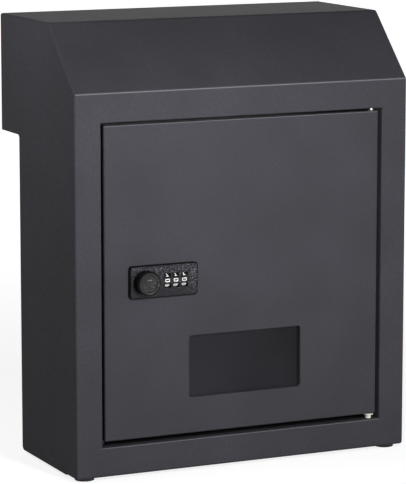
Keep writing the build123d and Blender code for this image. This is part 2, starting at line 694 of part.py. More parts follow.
def dial(index):
    """Number wheel: ten flat faces with grip grooves between them."""
    x_range = dial_x(index)
    outline = RegularPolygon(DIAL_RADIUS, DIAL_FACES, rotation=180 / DIAL_FACES)
    for i in range(DIAL_FACES):
        ridge = Rot(0, 0, 180 * (2 * i + 1) / DIAL_FACES) * Pos(DIAL_RADIUS, 0)
        outline -= ridge * Rectangle(DIAL_GROOVE, DIAL_GROOVE, rotation=45)
    outline -= Circle(AXLE_RADIUS + FIT)
    return Pos(x_range[0], DIAL_Y, LOCK_Z) * extrude(Plane.YZ * outline, amount=DIAL_WIDTH)


def detent_spring():
    """Leaf spring behind the dials, one bowed finger for each."""
    rear = LOCK_REAR
    tip = DIAL_Y + DIAL_RADIUS + RUNNING
    half = DIAL_POCKET - RUNNING
    path = [(rear, LOCK_Z - half), (tip + SPRING_SHEET, LOCK_Z), (rear, LOCK_Z + half)]
    finger = strip(path, [half], SPRING_SHEET)
    plates = []
    for index in range(DIAL_COUNT):
        x_range = dial_x(index)
        plates.append(Pos(x_range[0], 0, 0) * extrude(Plane.YZ * finger, amount=DIAL_WIDTH))
    strap = block((dial_x(0)[0], dial_x(DIAL_COUNT - 1)[1]), (rear - SPRING_SHEET, rear),
                  (LOCK_Z - half, LOCK_Z - half + 2))
    for plate in plates:
        strap += plate
    return strap


def knob():
    """Round knob with a fluted edge and a shallow dish, bored for the spindle's boss."""
    dish = KNOB_RADIUS * KNOB_DISH_SHARE
    profile = [
        (0, KNOB_REAR),
        (KNOB_RADIUS, KNOB_REAR),
        (KNOB_RADIUS, KNOB_FRONT + KNOB_EDGE),
        (KNOB_RADIUS - KNOB_EDGE, KNOB_FRONT),
        (dish, KNOB_FRONT),
        (dish - KNOB_DISH, KNOB_FRONT + KNOB_DISH),
        (0, KNOB_FRONT + KNOB_DISH),
    ]
    half_section = make_face(Polyline(*profile, close=True))
    body = Pos(KNOB_X, 0, LOCK_Z) * revolve(half_section, Axis.Y)
    for i in range(KNOB_FLUTES):
        body -= Pos(KNOB_X, 0, LOCK_Z) * Rot(0, 360 * i / KNOB_FLUTES, 0) * knob_flute()
    return body - rod_y(KNOB_X, (KNOB_REAR - BOSS_LENGTH, KNOB_REAR + 1), LOCK_Z, BOSS_RADIUS + SEAT)


def knob_flute():
    """V-shaped groove along the knob's edge, for one finger-grip flute."""
    depth = KNOB_FLUTE_DEPTH
    groove = Polygon((KNOB_RADIUS - depth, 0), (KNOB_RADIUS + 1, -depth - 1), (KNOB_RADIUS + 1, depth + 1),
                     align=None)
    length = KNOB_LENGTH - 2.5 * KNOB_EDGE
    return Pos(0, KNOB_REAR - KNOB_EDGE, 0) * extrude(Plane.XZ * groove, amount=length)


def knob_spindle():
    """Spindle from the knob through the lock to the square that drives the cam."""
    boss = rod_y(KNOB_X, (KNOB_REAR - BOSS_LENGTH, KNOB_REAR), LOCK_Z, BOSS_RADIUS)
    journal = rod_y(KNOB_X, (KNOB_REAR, CAM_FRONT), LOCK_Z, JOURNAL_RADIUS)
    half = CAM_SQUARE / 2
    square = block(grown((KNOB_X, KNOB_X), half), (CAM_FRONT, CAM_FRONT + CAM_SHEET),
                   grown((LOCK_Z, LOCK_Z), half))
    end = CAM_FRONT + CAM_SHEET
    return boss + journal + square - rod_y(KNOB_X, (end - CAM_SCREW_DEPTH, end + 1), LOCK_Z,
                                           CAM_SCREW_RADIUS + SEAT)


def cam():
    """Flat latch lever, pointing down when the lock is open."""
    hub = CAM_WIDTH / 2
    tip = CAM_TIP_WIDTH / 2
    round_end = Circle(hub)
    arm = Polygon((hub, 0), (-hub, 0), (-tip, -CAM_LENGTH), (tip, -CAM_LENGTH), align=None)
    arm = fillet(arm.vertices().sort_by(Axis.Y)[:2], tip / 3)
    hole = Rectangle(CAM_SQUARE + 2 * SEAT, CAM_SQUARE + 2 * SEAT)
    face = Plane.XZ * (round_end + arm - hole)
    return Pos(KNOB_X, CAM_FRONT + CAM_SHEET, LOCK_Z) * extrude(face, amount=CAM_SHEET)


def cam_washer():
    """Washer under the cam screw's head."""
    front = CAM_FRONT + CAM_SHEET
    ring = rod_y(KNOB_X, (front, front + CAM_WASHER), LOCK_Z, CAM_WASHER_RADIUS)
    return ring - rod_y(KNOB_X, (front - 1, front + 2), LOCK_Z, CAM_SCREW_RADIUS + SEAT)


def cam_screw():
    """Pan-head screw that holds the cam on the spindle."""
    seat = CAM_FRONT + CAM_SHEET + CAM_WASHER
    head = rod_y(KNOB_X, (seat, seat + CAM_SCREW_HEIGHT), LOCK_Z, CAM_SCREW_HEAD)
    head = chamfer(head.edges().sort_by(Axis.Y)[-1], CAM_SCREW_HEIGHT / 2)
    start = CAM_FRONT + CAM_SHEET - CAM_SCREW_DEPTH + 1
    return head + rod_y(KNOB_X, (start, seat), LOCK_Z, CAM_SCREW_RADIUS)


def code_lever():
    """Small lever on the back of the lock that frees the dials to set a new code."""
    front = LOCK_REAR + BACK_PLATE + RUNNING
    pivot = rod_y(lever_x(), (LOCK_REAR - SHEET, front), LOCK_Z, LEVER_RADIUS)
    face = Plane.XZ * Pos(0, LEVER_WIDTH / 2 - LEVER_LENGTH / 2) * SlotOverall(
        LEVER_LENGTH, LEVER_WIDTH, rotation=90)
    arm = Pos(lever_x(), front + LEVER_SHEET, LOCK_Z) * extrude(face, amount=LEVER_SHEET)
    return pivot + arm


def nodes():
    """Every piece of the box, by name."""
    pieces = {
        "front_panel": front_panel(),
        "side_panel_left": side_panel(-1),
        "side_panel_right": side_panel(1),
        "back_panel": back_panel(),
        "bottom_panel": bottom_panel(),
        "mouth_frame": mouth_frame(),
        "chute_plate": chute_plate(),
        "baffle": baffle(),
        "hinge_pin_lower": hinge_pin(OPENING_Z[0], DOOR_Z[0], 1),
        "hinge_pin_upper": hinge_pin(OPENING_Z[1], DOOR_Z[1], -1),
        "hinge_washer": hinge_washer(),
        "hinge_bush_lower": hinge_bush(DOOR_Z[0], 1),
        "hinge_bush_upper": hinge_bush(DOOR_Z[1], -1),
        "bumper_lower": bumper(OPENING_Z[0] + BUMPER_FROM_END),
        "bumper_upper": bumper(OPENING_Z[1] - BUMPER_FROM_END),
        "door_skin": door_skin(),
        "window_pane": window_pane(),
        "window_retainer": window_retainer(),
        "window_studs": window_studs(),
        "window_nuts": window_nuts(),
        "lock_housing": lock_housing(),
        "lock_clip": lock_clip(),
        "lock_back_plate": lock_back_plate(),
        "lock_screws": lock_screws(),
        "dial_axle": dial_axle(),
        "detent_spring": detent_spring(),
        "knob": knob(),
        "knob_spindle": knob_spindle(),
        "cam": cam(),
        "cam_washer": cam_washer(),
        "cam_screw": cam_screw(),
        "code_lever": code_lever(),
    }
    for name, (x, y) in zip(("front_left", "front_right", "rear_left", "rear_right"), foot_places()):
        pieces["foot_" + name] = foot(x, y)
    for index in range(DIAL_COUNT):
        pieces["dial_" + str(index + 1)] = dial(index)
    return pieces


def main():
    """Write one STEP file for each piece."""
    os.makedirs("parts", exist_ok=True)
    for name, shape in nodes().items():
        solids = shape if isinstance(shape, list) else shape.solids()
        group = Compound(children=[Pos(0, -MIDDLE, 0) * solid for solid in solids])
        export_step(group, "parts/" + name + ".step")


main()
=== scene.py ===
import json
import math

import bmesh
import bpy
from bpy.props import FloatProperty, FloatVectorProperty, PointerProperty
from bpy.types import Operator, Panel, PropertyGroup
from mathutils import Matrix, Vector


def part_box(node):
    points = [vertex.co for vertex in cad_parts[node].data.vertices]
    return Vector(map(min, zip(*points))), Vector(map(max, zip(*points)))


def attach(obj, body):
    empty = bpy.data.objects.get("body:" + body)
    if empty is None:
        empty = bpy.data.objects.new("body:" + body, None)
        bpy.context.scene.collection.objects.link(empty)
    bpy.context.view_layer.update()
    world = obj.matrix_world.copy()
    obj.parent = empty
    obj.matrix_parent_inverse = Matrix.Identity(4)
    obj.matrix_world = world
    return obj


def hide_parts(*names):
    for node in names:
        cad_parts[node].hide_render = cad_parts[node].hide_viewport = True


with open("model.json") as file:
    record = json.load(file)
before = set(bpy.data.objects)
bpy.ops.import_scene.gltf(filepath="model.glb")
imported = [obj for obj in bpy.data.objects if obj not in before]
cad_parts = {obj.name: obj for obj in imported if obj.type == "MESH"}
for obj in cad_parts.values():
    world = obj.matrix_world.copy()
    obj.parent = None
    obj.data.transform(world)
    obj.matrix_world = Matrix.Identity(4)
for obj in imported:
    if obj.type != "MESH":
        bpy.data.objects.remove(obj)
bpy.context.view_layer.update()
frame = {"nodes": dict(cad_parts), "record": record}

# Looks of the through-wall drop box: the finish of each piece, the numerals on its dials, the
# threads and recesses of its small fasteners, and a plain studio to see it in.

bl_info = {
    "name": "Through-wall drop box",
    "version": (1, 0, 0),
    "blender": (4, 5, 0),
    "location": "View3D > Sidebar > Drop Box",
    "description": "Finishes, numerals and fasteners of a folded steel drop box",
    "category": "Object",
}

MM = 0.001
WHITE = (1.0, 1.0, 1.0, 1.0)
DIALS = ("dial_1", "dial_2", "dial_3")

# Centre lines of the numerals in a unit square, as (closed, points). Eight is two flat loops, and
# nine is six turned half round.
ROUND = ((0.08, 0), (0.92, 0), (1, 0.12), (1, 0.88), (0.92, 1), (0.08, 1), (0, 0.88), (0, 0.12))
SIX = ((0.9, 0.93), (0.7, 1), (0.25, 1), (0, 0.78), (0, 0.22), (0.25, 0), (0.75, 0), (1, 0.2),
       (1, 0.36), (0.75, 0.54), (0.1, 0.5))
NUMERALS = (
    [(True, ROUND)],
    [(False, ((0.36, 0.9), (0.5, 1), (0.56, 0.1))), (False, ((0.3, 0), (0.78, 0)))],
    [(False, ((0, 0.78), (0.25, 1), (0.75, 1), (1, 0.78), (1, 0.6), (0.1, 0), (1, 0)))],
    [(False, ((0, 0.93), (0.2, 1), (0.75, 1), (1, 0.8), (1, 0.68), (0.7, 0.52), (1, 0.34),
              (1, 0.2), (0.75, 0), (0.2, 0), (0, 0.07)))],
    [(False, ((0.72, 0), (0.72, 1), (0, 0.3), (1, 0.3)))],
    [(False, ((0.95, 1), (0.1, 1), (0.05, 0.55), (0.7, 0.6), (1, 0.42), (1, 0.2), (0.75, 0),
              (0.2, 0), (0, 0.07)))],
    [(False, SIX)],
    [(False, ((0, 1), (0.95, 1), (0.4, 0)))],
    [(True, tuple((x, 0.5 + y / 2) for x, y in ROUND)),
     (True, tuple((x, y / 2) for x, y in ROUND))],
    [(False, tuple((1 - x, 1 - y) for x, y in SIX))],
)

# Where the powder coat gets a painted highlight, from the direction of a face. Each pair is the
# start and the end of a change.
HOOD_FACE = (0.0, -0.701, 0.713)  # direction that the hood's slope faces
FLAT = (0.93, 0.99)  # share of the nearest flat direction, from rounded to flat
FACING_UP = (0.15, 0.4)  # upward share, from no painted highlight to full painted highlight
NEARLY_TOP = (0.6, 0.7)  # upward share, from full painted highlight to none
FACING_SIDE = (0.1, 0.3)  # sideways share, from full painted highlight to none

# Powder coat. Its weak and faintly purple sheen is matched to the look and not known of the paint.
COAT_CLOUD = 70 * MM  # width of a cloud of thinner coat
COAT_SHEEN = 0.13
COAT_TINT = (0.92, 0.76, 1.0, 1.0)
HOLLOW_SHADE = 0.74  # brightness of the hollows' painted shade, over that of the thinner coat
FOLD_HIGHLIGHT_SMOOTHER = 0.14  # roughness taken away where the highlight is painted

# Paint of the lock: width of a grain, roughness, the way along which the pale grains grow
# denser, and the places on that way where they start to and are densest. The way and its
# places are matched to the look.
BODY_PAINT = {"grain_width": 1.0 * MM, "rough": 0.45, "way": (0.3, 0, 1),
              "grains_start": 148 * MM, "grains_full": 162 * MM}
# On the knob the grains grow denser towards the lower right: a painted highlight
KNOB_PAINT = {"grain_width": 0.8 * MM, "rough": 0.4, "way": (1, 0, -1),
              "grains_start": -295 * MM, "grains_full": -275 * MM}
MARK_PAINT = {**KNOB_PAINT, "grains_start": -310 * MM, "grains_full": -300 * MM}
PAINT_PATCH = 14 * MM  # width of a patch with more or fewer grains
PAINT_SHEEN = 0.14
ROUGH_RANGE = 0.06  # how far the roughness goes either way
SIDE_SHADE = 0.35  # brightness of the painted shade on the sides, over the colour between the grains

WINDOW_LIGHT_REACH = (0.0, 0.18)  # metres of X plus Z over which the pane's painted light fades

# Index mark on the knob
MARK_LENGTH = 4.8 * MM
MARK_WIDTH = 0.9 * MM
MARK_RELIEF = 0.35 * MM
MARK_ABOVE = 3.2 * MM  # over the knob's axis
MARK_BEHIND = 0.62 * MM  # its foot, behind the knob's foremost point
MARK_TILT = math.radians(8)
MARK_STEPS = 8  # faces round one end
MARK_EDGE = 0.4  # share of its relief that the bevelled edge takes

# Lines of the numerals
MITRE_LIMIT = 0.5  # keeps the corner of a sharp bend from standing far out
LINE_DROP = 0.1  # share of the relief by which each further line of a numeral is lower

# Fasteners
SHARP_EDGE = 30  # degrees between two faces from which their edge looks sharp
STUD_SIDES = 20
STUD_BEVEL = 1.5  # height of the bevel at a stud's end, over the thread's depth
RINGS_PER_TURN = 6  # of a thread
NUT_SIDES = 60
NUT_BEVEL = 1.02  # radius where a nut's corners start to be cut, over half its width
BORE_PLAY = 0.1 * MM
BORE_BEVEL = 0.3 * MM
SAME_PLACE = 1e-7  # points nearer than this are one
RECESS_TAPER = 0.45  # width of a cross at its bottom, over its width at the top
OVER_HEAD = 0.5 * MM  # how far the cutter of a cross stands over the head
COUNTERSUNK_SIDES = 36
COUNTERSUNK_RIM = 0.12 * MM  # height of the broken edge round a flat head
COUNTERSUNK_EASE = 0.08 * MM  # how far that edge goes inwards
COUNTERSUNK_SHANK = 0.54  # radius of the shank over that of the head, and so below
PAN_SIDES = 40
PAN_STEPS = 6  # faces over the rounded edge
PAN_ROUND = 0.6  # radius of that edge over the head's height
PAN_SHANK = 0.48

# Studio. A lamp is the place where it stands, the point that it faces and its width, in metres.
# These and the powers in StageSettings are matched to the look: the real lamps aren't known.
LAMPS = {
    "key": ((-0.08, -0.55, 0.4), (0.0, 0.0, 0.28), 0.05),
    "fill": ((0.6, -1.3, 0.3), (0.0, 0.0, 0.25), 0.4),
    "front": ((0.2, -2.4, 0.22), (0.0, 0.0, 0.2), 0.35),
    "rim": ((0.95, 1.8, 0.9), (0.0, 0.0, 0.3), 1.0),
    "side": ((-0.47, 0.04, 0.58), (-0.17, 0.0, 0.32), 0.2),
}
FLOOR_SIDES = 96
PAPER_SHADE = (0.35, 0.35, 0.35, 1.0)
PAPER_GLOW = (0.83, 1.0)  # near the object and far from it
PAPER_REACH = (0.4, 1.6)  # metres from the middle where that change starts and ends
PAPER_REFLECTED = 0.55  # share of the glow in a reflection, matched to the look
WALL_GLOW = 0.75
ROOM_GLOW = 0.07
WALL_TOP = 0.17  # upward share of a direction in which the wall's glow has faded
SENSOR_WIDTH = 36.0  # millimetres
CLIP_END = 100.0


def linear(code):
    """An sRGB hex colour as the linear colour that a shader takes."""
    parts = [int(code[i:i + 2], 16) / 255 for i in (0, 2, 4)]
    return tuple(p / 12.92 if p <= 0.04045 else ((p + 0.055) / 1.055) ** 2.4 for p in parts)


def colour_property(name, description, code):
    """A colour that a user can change, from its hex value."""
    return FloatVectorProperty(name=name, description=description, default=linear(code),
                               size=3, min=0, max=1, subtype="COLOR")


def length_property(name, description, size_mm):
    """A length that a user can change, from its value in millimetres."""
    return FloatProperty(name=name, description=description, default=size_mm * MM, min=0,
                         precision=5, subtype="DISTANCE", unit="LENGTH")


def power_property(name, description, watts):
    """A lamp's power that a user can change."""
    return FloatProperty(name=name, description=description, default=watts, min=0,
                         subtype="POWER", unit="POWER")


class CoatSettings(PropertyGroup):
    """Powder coat of the cabinet and the door."""
    shade: colour_property("Shade", "Colour of the baked coat", "424247")
    cloud: colour_property("Cloud", "Colour where the coat lies thinner", "3C3C40")
    # Painted highlight on the fold under the hood and on edges that face up and forward like it
    wear_and_highlight: colour_property("Painted_highlight", "Colour over folds and edges", "7B7980")
    grain: length_property("Grain", "Width of one pebble of the texture", 1.5)
    peel: length_property("Peel", "Width of the slow waves under the texture", 5.0)


class LockSettings(PropertyGroup):
    """Lock body, knob, dials and their numerals."""
    casting: colour_property("Casting", "Colour between the grains of the lock's paint", "18171C")
    casting_grain: colour_property("Casting grain", "Colour of the grains of the lock's paint",
                                   "706E78")
    knob: colour_property("Knob", "Colour between the grains of the knob's paint", "1F1F20")
    knob_grain: colour_property("Knob grain", "Colour of the grains of the knob's paint", "6E6E6F")
    mark: colour_property("Mark", "Colour of the zinc where the knob's paint is worn", "B4B4B2")
    dial: colour_property("Dial", "Colour of the moulded dials", "0B0B0C")
    numeral: colour_property("Numeral", "Colour of the numerals", "F2F2F0")
    numeral_width: length_property("Numeral width", "Width of a numeral", 4.4)
    numeral_height: length_property("Numeral height", "Height of a numeral", 2.95)
    numeral_stroke: length_property("Numeral stroke", "Width of a numeral's line", 0.67)
    numeral_relief: length_property("Numeral relief", "How far a numeral stands out", 0.06)


class FastenerSettings(PropertyGroup):
    """Studs, nuts and screws."""
    stud_radius: length_property("Stud radius", "Outer radius of the studs' thread", 1.95)
    pitch: length_property("Pitch", "Height of one turn of the thread", 0.7)
    thread_depth: length_property("Thread depth", "Depth of the thread", 0.38)
    nut_flats: length_property("Nut width", "Across the flats of a nut", 7.0)
    recess_reach: length_property("Recess reach", "From a screw's axis to a tip of its cross", 1.7)
    recess_width: length_property("Recess width", "Width of one slot of the cross", 0.7)
    recess_depth: length_property("Recess depth", "Depth of the cross", 1.0)


class StageSettings(PropertyGroup):
    """Studio: floor, lights and camera."""
    floor_radius: FloatProperty(name="Floor radius", description="Radius of the floor",
                                default=14.0, subtype="DISTANCE", unit="LENGTH")
    key_power: power_property("Key power", "Small soft box over the front", 1.97)
    fill_power: power_property("Fill power", "Soft box at the right", 2.8)
    front_power: power_property("Front power", "Soft box far in front", 18.0)
    rim_power: power_property("Rim power", "Soft box behind the top", 5.6)
    side_power: power_property("Side power", "Soft box at the upper left", 0.95)
    camera_place: FloatVectorProperty(name="Camera place", description="Where the camera stands",
                                      default=(-1.105, -2.3562, 0.6326), subtype="TRANSLATION")
    camera_turn: FloatVectorProperty(name="Camera turn", description="Pitch, roll and heading",
                                     default=[math.radians(a) for a in (80.555, 0.0, -25.057)],
                                     subtype="EULER")
    focal_length: FloatProperty(name="Focal length", description="Lens, in millimetres",
                                default=205.6)


class DropBoxSettings(PropertyGroup):
    """Every size and colour of the drop box's looks."""
    coat: PointerProperty(type=CoatSettings)
    lock: PointerProperty(type=LockSettings)
    fasteners: PointerProperty(type=FastenerSettings)
    stage: PointerProperty(type=StageSettings)


def settings():
    """The scene's own copy of the settings."""
    return bpy.context.scene.drop_box


# Materials


def add_node(tree, kind, inputs=None, **values):
    """Adds one node: values are its settings, inputs are numbers, colours or outputs by socket."""
    node = tree.nodes.new(kind)
    for name, value in values.items():
        setattr(node, name, value)
    for name, value in (inputs or {}).items():
        if isinstance(value, bpy.types.NodeSocket):
            tree.links.new(value, node.inputs[name])
        else:
            node.inputs[name].default_value = value
    return node


def new_material(name):
    """An empty node material with its shader and its surface coordinates."""
    material = bpy.data.materials.new(name)
    material.use_nodes = True
    tree = material.node_tree
    tree.nodes.clear()
    place = add_node(tree, "ShaderNodeTexCoord").outputs["Object"]
    shader = add_node(tree, "ShaderNodeBsdfPrincipled")
    add_node(tree, "ShaderNodeOutputMaterial", {"Surface": shader.outputs["BSDF"]})
    return material, tree, place, shader


def calculate(tree, operation, *values):
    """Result of one sum on numbers or outputs."""
    made = add_node(tree, "ShaderNodeMath", dict(enumerate(values)), operation=operation)
    return made.outputs[0]


def noise(tree, place, width, detail=2.0, roughness=0.5):
    """Noise whose lumps have a real width in metres."""
    made = add_node(tree, "ShaderNodeTexNoise",
                    {"Vector": place, "Scale": 1 / width, "Detail": detail, "Roughness": roughness})
    return made.outputs["Fac"]


def spread(tree, value, low, high, start=0.3, end=0.7):
    """A value that goes from low to high while the given one goes from start to end, and stays
    level before and after. Noise lies mostly between the start and end that stand here."""
    made = add_node(tree, "ShaderNodeMapRange", {"Value": value, "From Min": start,
                                                 "From Max": end, "To Min": low, "To Max": high})
    return made.outputs["Result"]


def blend_colours(tree, factor, first, second):
    """A colour that goes from the first to the second with the factor."""
    made = add_node(tree, "ShaderNodeMix", data_type="RGBA")
    tree.links.new(factor, made.inputs["Factor"])
    for name, value in (("A", first), ("B", second)):
        socket = [i for i in made.inputs if i.name == name and i.type == "RGBA"][0]
        if isinstance(value, bpy.types.NodeSocket):
            tree.links.new(value, socket)
        else:
            socket.default_value = (*value, 1.0)
    return [o for o in made.outputs if o.type == "RGBA"][0]


def bump(tree, height, strength, distance, under=None):
    """Relief of a real height in metres, over another relief if there is one."""
    inputs = {"Height": height, "Strength": strength, "Distance": distance}
    if under is not None:
        inputs["Normal"] = under
    return add_node(tree, "ShaderNodeBump", inputs).outputs["Normal"]


def connect(tree, shader, **sockets):
    """Sets or links the shader's sockets, named with underscores for spaces."""
    for name, value in sockets.items():
        socket = shader.inputs[name.replace("_", " ")]
        if isinstance(value, bpy.types.NodeSocket):
            tree.links.new(value, socket)
        else:
            socket.default_value = value


def folds(tree):
    """1 on the fold under the hood and on edges that face up and forward like it, 0 elsewhere,
    from the direction of the face."""
    # The mask of the coat's painted highlight
    way = add_node(tree, "ShaderNodeTexCoord").outputs["Normal"]
    flat = None
    for face in ((1, 0, 0), (0, 1, 0), (0, 0, 1), HOOD_FACE):
        dot = add_node(tree, "ShaderNodeVectorMath", {0: way, 1: face}, operation="DOT_PRODUCT")
        size = calculate(tree, "ABSOLUTE", dot.outputs["Value"])
        flat = size if flat is None else calculate(tree, "MAXIMUM", flat, size)
    rounded = spread(tree, flat, 1.0, 0.0, *FLAT)
    parts = add_node(tree, "ShaderNodeSeparateXYZ", {"Vector": way}).outputs
    sideways = calculate(tree, "ABSOLUTE", parts["X"])
    limits = (spread(tree, parts["Z"], 0.0, 1.0, *FACING_UP),
              spread(tree, parts["Z"], 1.0, 0.0, *NEARLY_TOP),
              spread(tree, sideways, 1.0, 0.0, *FACING_SIDE))
    for limit in limits:
        rounded = calculate(tree, "MULTIPLY", rounded, limit)
    return rounded


def powder_coat(coat):
    """Polyester powder sprayed on steel and baked. It melts into a matte skin of small pebbles
    over slow waves, so flat faces look slightly mottled, with a painted shade in the hollows
    between the pebbles. The fold under the hood and the upper edges of the door carry a
    painted highlight: they are painted paler and made smoother."""
    material, tree, place, shader = new_material("polyester_powder_coat_baked")
    cloud = noise(tree, place, COAT_CLOUD, 3.0)
    grain = noise(tree, place, coat.grain, 3.0, 0.6)
    peel = noise(tree, place, coat.peel, 1.0)
    fold_highlight = folds(tree)
    shade = blend_colours(tree, spread(tree, cloud, 0.0, 1.0), tuple(coat.shade),
                          tuple(coat.cloud))
    # Painted shade in the hollows between the pebbles, where the grain's relief is low
    dark = tuple(c * HOLLOW_SHADE for c in coat.cloud)
    colour = blend_colours(tree, spread(tree, grain, 0.5, 0.0, 0.3, 0.6), shade, dark)
    # Painted highlight on the fold under the hood and on edges facing up and forward
    colour = blend_colours(tree, fold_highlight, colour, tuple(coat.wear_and_highlight))
    relief = bump(tree, peel, 0.25, 0.25 * MM)
    relief = bump(tree, grain, 0.45, 0.16 * MM, relief)
    rough = calculate(tree, "MULTIPLY_ADD", fold_highlight, -FOLD_HIGHLIGHT_SMOOTHER,
                      spread(tree, grain, 0.72, 0.58))
    connect(tree, shader, Base_Color=colour, Roughness=rough, Normal=relief, IOR=1.5,
            Specular_IOR_Level=COAT_SHEEN, Specular_Tint=COAT_TINT)
    return material


def painted_casting(name, shade, pale, grain_width, rough, way, grains_start, grains_full):
    """Zinc die casting under a stoved crackle paint. On the faces the paint breaks into small
    pale grains, more of them along the given way. The sides have no grains and a painted
    shade that makes them nearly black."""
    material, tree, place, shader = new_material(name)
    grain = noise(tree, place, grain_width, 1.0, 0.5)
    patch = noise(tree, place, PAINT_PATCH, 2.0)
    normal = add_node(tree, "ShaderNodeTexCoord").outputs["Normal"]
    front = add_node(tree, "ShaderNodeVectorMath", {0: normal, 1: (0, -1, 0)},
                     operation="DOT_PRODUCT")
    along = add_node(tree, "ShaderNodeVectorMath", {0: place, 1: way}, operation="DOT_PRODUCT")
    # More grains along the way; on the knob that is a painted highlight towards the lower right
    dense = spread(tree, along.outputs["Value"], 0.12, 1.0, grains_start, grains_full)
    face = spread(tree, front.outputs["Value"], 0.0, 1.0, 0.75, 0.97)
    speck = spread(tree, grain, 0.0, 1.0, 0.55, 0.66)
    for part in (dense, spread(tree, patch, 0.5, 1.0)):
        speck = calculate(tree, "MULTIPLY", speck, part)
    crackle = blend_colours(tree, speck, tuple(shade), tuple(pale))
    # Painted shade: faces that don't face the front are darkened to nearly black
    colour = blend_colours(tree, face, tuple(c * SIDE_SHADE for c in shade), crackle)
    relief = bump(tree, grain, 0.7, 0.16 * MM)
    connect(tree, shader, Base_Color=colour, Normal=relief, IOR=1.5, Specular_IOR_Level=PAINT_SHEEN,
            Roughness=spread(tree, patch, rough - ROUGH_RANGE, rough + ROUGH_RANGE))
    return material


def zinc_plate():
    """Steel, barrel-plated with bright zinc and passivated: a grey metal with a faint blue and
    yellow bloom and fine tumbling marks."""
    material, tree, place, shader = new_material("zinc_plated_steel_passivated")
    bloom = noise(tree, place, 9 * MM, 2.0)
    marks = noise(tree, place, 0.7 * MM, 3.0, 0.7)
    tint = blend_colours(tree, spread(tree, bloom, 0.0, 1.0), linear("C3C8CE"), linear("CDC8B8"))
    colour = blend_colours(tree, spread(tree, marks, 0.0, 0.3), tint, linear("8F9296"))
    connect(tree, shader, Base_Color=colour, Metallic=1.0,
            Roughness=spread(tree, marks, 0.26, 0.44), Normal=bump(tree, marks, 0.2, 0.03 * MM))
    return material


def moulded_nylon():
    """Natural nylon, injection-moulded: milky white, a little soft inside, faintly uneven."""
    material, tree, place, shader = new_material("nylon_natural_moulded")
    flow = noise(tree, place, 3 * MM, 2.0)
    colour = blend_colours(tree, spread(tree, flow, 0.0, 1.0), linear("F1F0EA"), linear("E2E0D6"))
    connect(tree, shader, Base_Color=colour, Roughness=spread(tree, flow, 0.32, 0.46),
            Normal=bump(tree, flow, 0.12, 0.05 * MM), IOR=1.53, Subsurface_Weight=0.12,
            Subsurface_Scale=0.6 * MM)
    return material


def moulded_rubber():
    """Black rubber from an etched mould: dull, greyed a little by dust in its grain."""
    material, tree, place, shader = new_material("rubber_black_moulded")
    grain = noise(tree, place, 0.8 * MM, 2.0, 0.6)
    colour = blend_colours(tree, spread(tree, grain, 0.0, 0.6), linear("141415"), linear("2A2A2B"))
    connect(tree, shader, Base_Color=colour, Roughness=spread(tree, grain, 0.82, 0.68),
            Normal=bump(tree, grain, 0.35, 0.08 * MM), IOR=1.52)
    return material


def smoked_acrylic():
    """Smoked acrylic sheet with a satin face: nearly black, with a soft, even reflection that
    rolls slowly where the sheet isn't quite flat. Its colour carries a painted light and
    reflection, lightest at the lower left and darkest at the upper right, with the slow rolls in
    it."""
    material, tree, place, shader = new_material("acrylic_sheet_smoked_satin")
    roll = noise(tree, place, 45 * MM, 1.0)
    haze = noise(tree, place, 0.6 * MM, 2.0)
    across = add_node(tree, "ShaderNodeVectorMath", {0: place, 1: (1, 0, 1)},
                      operation="DOT_PRODUCT")
    # Painted light and reflection: lighter towards the lower left, darkest at the upper right
    clear = calculate(tree, "ADD", spread(tree, across.outputs["Value"], 0.0, 1.0, *WINDOW_LIGHT_REACH),
                      spread(tree, roll, -0.1, 0.1))
    colour = blend_colours(tree, clear, linear("26252B"), linear("0D0C11"))
    connect(tree, shader, Base_Color=colour, Roughness=spread(tree, haze, 0.34, 0.42),
            Normal=bump(tree, roll, 0.2, 0.3 * MM), IOR=1.49, Specular_IOR_Level=0.14)
    return material


def moulded_acetal(shade):
    """Black acetal, injection-moulded: smooth with a low gloss and faint handling marks."""
    material, tree, place, shader = new_material("acetal_black_moulded")
    wear_and_highlight = noise(tree, place, 1.6 * MM, 3.0, 0.6)
    pale = tuple(c * 2 + 0.004 for c in shade)
    colour = blend_colours(tree, spread(tree, wear_and_highlight, 0.0, 0.5), tuple(shade), pale)
    connect(tree, shader, Base_Color=colour, Roughness=spread(tree, wear_and_highlight, 0.3, 0.42),
            Normal=bump(tree, wear_and_highlight, 0.1, 0.03 * MM), IOR=1.48)
    return material


def numeral_paint(shade):
    """White paint filled into the numerals: flat and opaque, thinner at a few worn spots."""
    material, tree, place, shader = new_material("numeral_paint_white")
    wear_and_highlight = noise(tree, place, 0.9 * MM, 2.0)
    colour = blend_colours(tree, spread(tree, wear_and_highlight, 0.25, 0.0, 0.25, 0.45), tuple(shade),
                           linear("C9C9C6"))
    connect(tree, shader, Base_Color=colour, Roughness=spread(tree, wear_and_highlight, 0.5, 0.62),
            Normal=bump(tree, wear_and_highlight, 0.1, 0.02 * MM), IOR=1.5)
    return material


def finish_nodes(slot, material, only=None):
    """Gives a material to the CAD nodes of one material slot of the record."""
    nodes = [s["node"] for s in frame["record"]["subparts"] if s["material_slot"] == slot]
    for name in nodes:
        if only is None or name in only:
            for held in frame["nodes"][name].material_slots:
                held.material = material


# Meshes


def new_piece(name, mesh, material, body, replaced=()):
    """Puts a mesh in the scene as a piece that moves with a body."""
    mesh.materials.clear()
    mesh.materials.append(material)
    piece = bpy.data.objects.new(name, mesh)
    bpy.context.scene.collection.objects.link(piece)
    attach(piece, body)
    if replaced:
        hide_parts(*replaced)
    return piece


def centre_of(node):
    """Middle of a CAD node's box."""
    low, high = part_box(node)
    return (low + high) / 2


def corner_places(node, inset):
    """X and Z of the middles of four like things, one at each corner of a node's box."""
    low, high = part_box(node)
    return [(x, z) for x in (low.x + inset, high.x - inset)
            for z in (low.z + inset, high.z - inset)]


